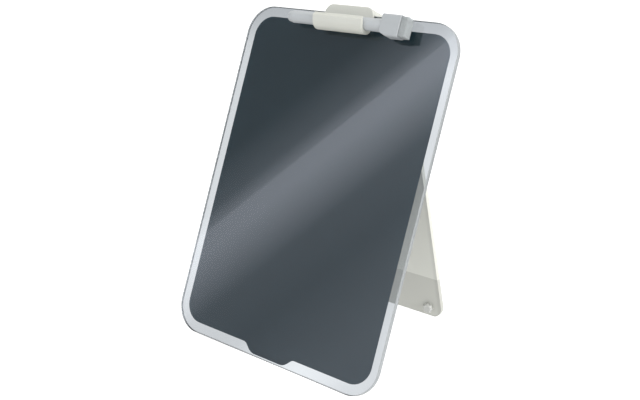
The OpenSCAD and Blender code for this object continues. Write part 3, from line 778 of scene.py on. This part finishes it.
class EASEL_OT_fixings(bpy.types.Operator):
    """Finishes the screws, the hinge pin and the washers"""
    bl_idname = "easel.fixings"
    bl_label = "Screws, pin and washers"

    def execute(self, context):
        finish = turned_steel()
        for node in ("clamp_screws", "hinge_pin", "friction_washers"):
            paint_node(node, finish)
        return {"FINISHED"}


class EASEL_OT_leg(bpy.types.Operator):
    """Softens and finishes the leg"""
    bl_idname = "easel.leg"
    bl_label = "Leg"

    def execute(self, context):
        put_piece("Leg_moulding", round_edges(merged_copy("stand_leg"), sizes().leg_edge),
                  "stand_leg", leg_abs())
        return {"FINISHED"}


class EASEL_OT_pads(bpy.types.Operator):
    """Bonds the clear bumper pads to the leg and finishes them"""
    bl_idname = "easel.pads"
    bl_label = "Bumper pads"

    def execute(self, context):
        mesh = merged_copy("bumper_pads")
        mesh.transform(Matrix.Translation(leg_place().to_3x3() @ Vector((0, 0, -CONTACT))))
        mesh.shade_smooth()
        put_piece("Urethane_pads", mesh, "bumper_pads", clear_urethane())
        return {"FINISHED"}


class EASEL_OT_marker(bpy.types.Operator):
    """Softens and finishes the marker's barrel and plug, and finishes what it holds"""
    bl_idname = "easel.marker"
    bl_label = "Marker"

    def execute(self, context):
        finish = satin_polypropylene("Satin polypropylene, barrel", colours().marker)
        for name, node in (("Barrel_moulding", "marker_barrel"), ("Plug_moulding", "end_plug")):
            put_piece(name, round_edges(merged_copy(node), sizes().turned_edge, steps=2), node, finish)
        fibre = inked_fibre()
        paint_node("ink_reservoir", fibre)
        paint_node("marker_nib", fibre)
        paint_node("nib_holder", acetal())
        return {"FINISHED"}


class EASEL_OT_cap(bpy.types.Operator):
    """Softens and finishes the cap, and finishes its seal"""
    bl_idname = "easel.cap"
    bl_label = "Cap"

    def execute(self, context):
        # The cap's darker copy of the satin polypropylene is painted shade.
        put_piece("Cap_moulding", round_edges(merged_copy("cap_shell"), sizes().cap_edge, sharpest=20),
                  "cap_shell", satin_polypropylene("Satin polypropylene, cap", colours().cap))
        paint_node("cap_seal", soft_rubber())
        return {"FINISHED"}


class EASEL_OT_felt(bpy.types.Operator):
    """Makes the eraser's block of felt, with its nap and loose fibres"""
    bl_idname = "easel.felt"
    bl_label = "Eraser felt"

    def execute(self, context):
        s = sizes()
        low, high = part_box("eraser_felt")
        finish = wool_felt()
        place = marker_place() @ Matrix.Translation((0, 0, low.x))
        block = round_edges(rounded_plate(s.felt_depth, s.felt_height, high.x - low.x,
                                          s.felt_corner, place, finish), FELT_SOFTNESS)
        carrier = bpy.data.objects.new("carrier", block)
        context.collection.objects.link(carrier)
        skin = carrier.modifiers.new("skin", "REMESH")
        skin.mode = "VOXEL"
        skin.voxel_size = FELT_GRAIN
        mesh = grow(felt_tree(), {
            "Length": s.fibre_length, "Radius": s.fibre_radius,
            "Density": s.fibres * SQUARE_CENTIMETRES, "Nap": FELT_NAP, "Seed": FELT_SEED,
            "Material": finish}, base=flatten(carrier))
        put_piece("Eraser_felt_block", mesh, "eraser_felt", finish)
        return {"FINISHED"}


class EASEL_OT_studio(bpy.types.Operator):
    """Sets the camera, the pale floor, the reflected softbox, the grey flag and the soft lights"""
    bl_idname = "easel.studio"
    bl_label = "Studio and camera"

    def execute(self, context):
        scene = context.scene
        camera = bpy.data.objects.new("Camera", bpy.data.cameras.new("Camera"))
        camera.data.lens, camera.data.sensor_width = CAMERA_LENS, CAMERA_SENSOR
        camera.location = CAMERA_PLACE
        camera.rotation_euler = (math.radians(90 - CAMERA_LOOK_DOWN), 0.0, math.radians(CAMERA_TURN))
        scene.collection.objects.link(camera)
        scene.camera = camera
        scene.view_settings.view_transform = "Standard"

        world = bpy.data.worlds.new("Soft white studio")
        scene.world = world
        world.use_nodes = True
        world.node_tree.nodes["Background"].inputs["Color"].default_value = (1, 1, 1, 1)
        world.node_tree.nodes["Background"].inputs["Strength"].default_value = WORLD_LIGHT

        stage_sheet("Floor", FLOOR_HALF, painted_floor())
        card = stage_sheet("Softbox", CARD_HALF, softbox_glow())
        centre = panel_place() @ Vector((0, sizes().glass_height / 2, 0))
        normal = panel_place().to_3x3() @ Vector((0, 0, 1))
        mirrored = (centre - camera.location).normalized().reflect(normal)
        across = mirrored.cross((0, 0, 1)).normalized()
        upward = across.cross(mirrored)
        turn = Matrix((across, upward, mirrored)).transposed().to_4x4()
        card.matrix_world = (Matrix.Translation(centre + mirrored * CARD_DISTANCE) @ turn
                             @ Matrix.Rotation(math.radians(CARD_ROLL), 4, "Z"))
        for ray in ("camera", "diffuse", "transmission", "volume_scatter", "shadow"):
            setattr(card, "visible_" + ray, False)

        flag = stage_sheet("Grey flag", FLAG_HALF, flag_shade())
        flag.matrix_world = Matrix.Translation(FLAG_PLACE) @ Matrix.Rotation(math.pi / 2, 4, "X")
        for ray in ("camera", "diffuse", "glossy", "volume_scatter", "shadow"):
            setattr(flag, "visible_" + ray, False)

        for name, place, size, power in SOFT_LIGHTS:
            lamp = bpy.data.lights.new(name, "AREA")
            lamp.shape = "DISK"
            lamp.size, lamp.energy = size, power
            light = bpy.data.objects.new(name, lamp)
            light.location = place
            light.rotation_euler = (Vector(place) - centre).to_track_quat("Z", "Y").to_euler()
            light.visible_camera = False
            light.visible_transmission = False
            scene.collection.objects.link(light)
        return {"FINISHED"}


class EASEL_PT_looks(bpy.types.Panel):
    """Lists the easel's operators in their order"""
    bl_idname = "EASEL_PT_looks"
    bl_label = "Desk easel"
    bl_space_type = "VIEW_3D"
    bl_region_type = "UI"
    bl_category = "Desk easel"

    def draw(self, context):
        for operator in STEPS:
            self.layout.operator(operator.bl_idname)


STEPS = (EASEL_OT_glass, EASEL_OT_backing, EASEL_OT_clip, EASEL_OT_fixings, EASEL_OT_leg,
         EASEL_OT_pads, EASEL_OT_marker, EASEL_OT_cap, EASEL_OT_felt, EASEL_OT_studio)
CLASSES = (EaselSizes, EaselColours, *STEPS, EASEL_PT_looks)


def register():
    for item in CLASSES:
        bpy.utils.register_class(item)
    bpy.types.Scene.easel_sizes = PointerProperty(type=EaselSizes)
    bpy.types.Scene.easel_colours = PointerProperty(type=EaselColours)


def unregister():
    del bpy.types.Scene.easel_sizes
    del bpy.types.Scene.easel_colours
    for item in reversed(CLASSES):
        bpy.utils.unregister_class(item)


def main():
    register()
    for operator in STEPS:
        group, name = operator.bl_idname.split(".")
        getattr(getattr(bpy.ops, group), name)()


if __name__ == "__main__":
    main()
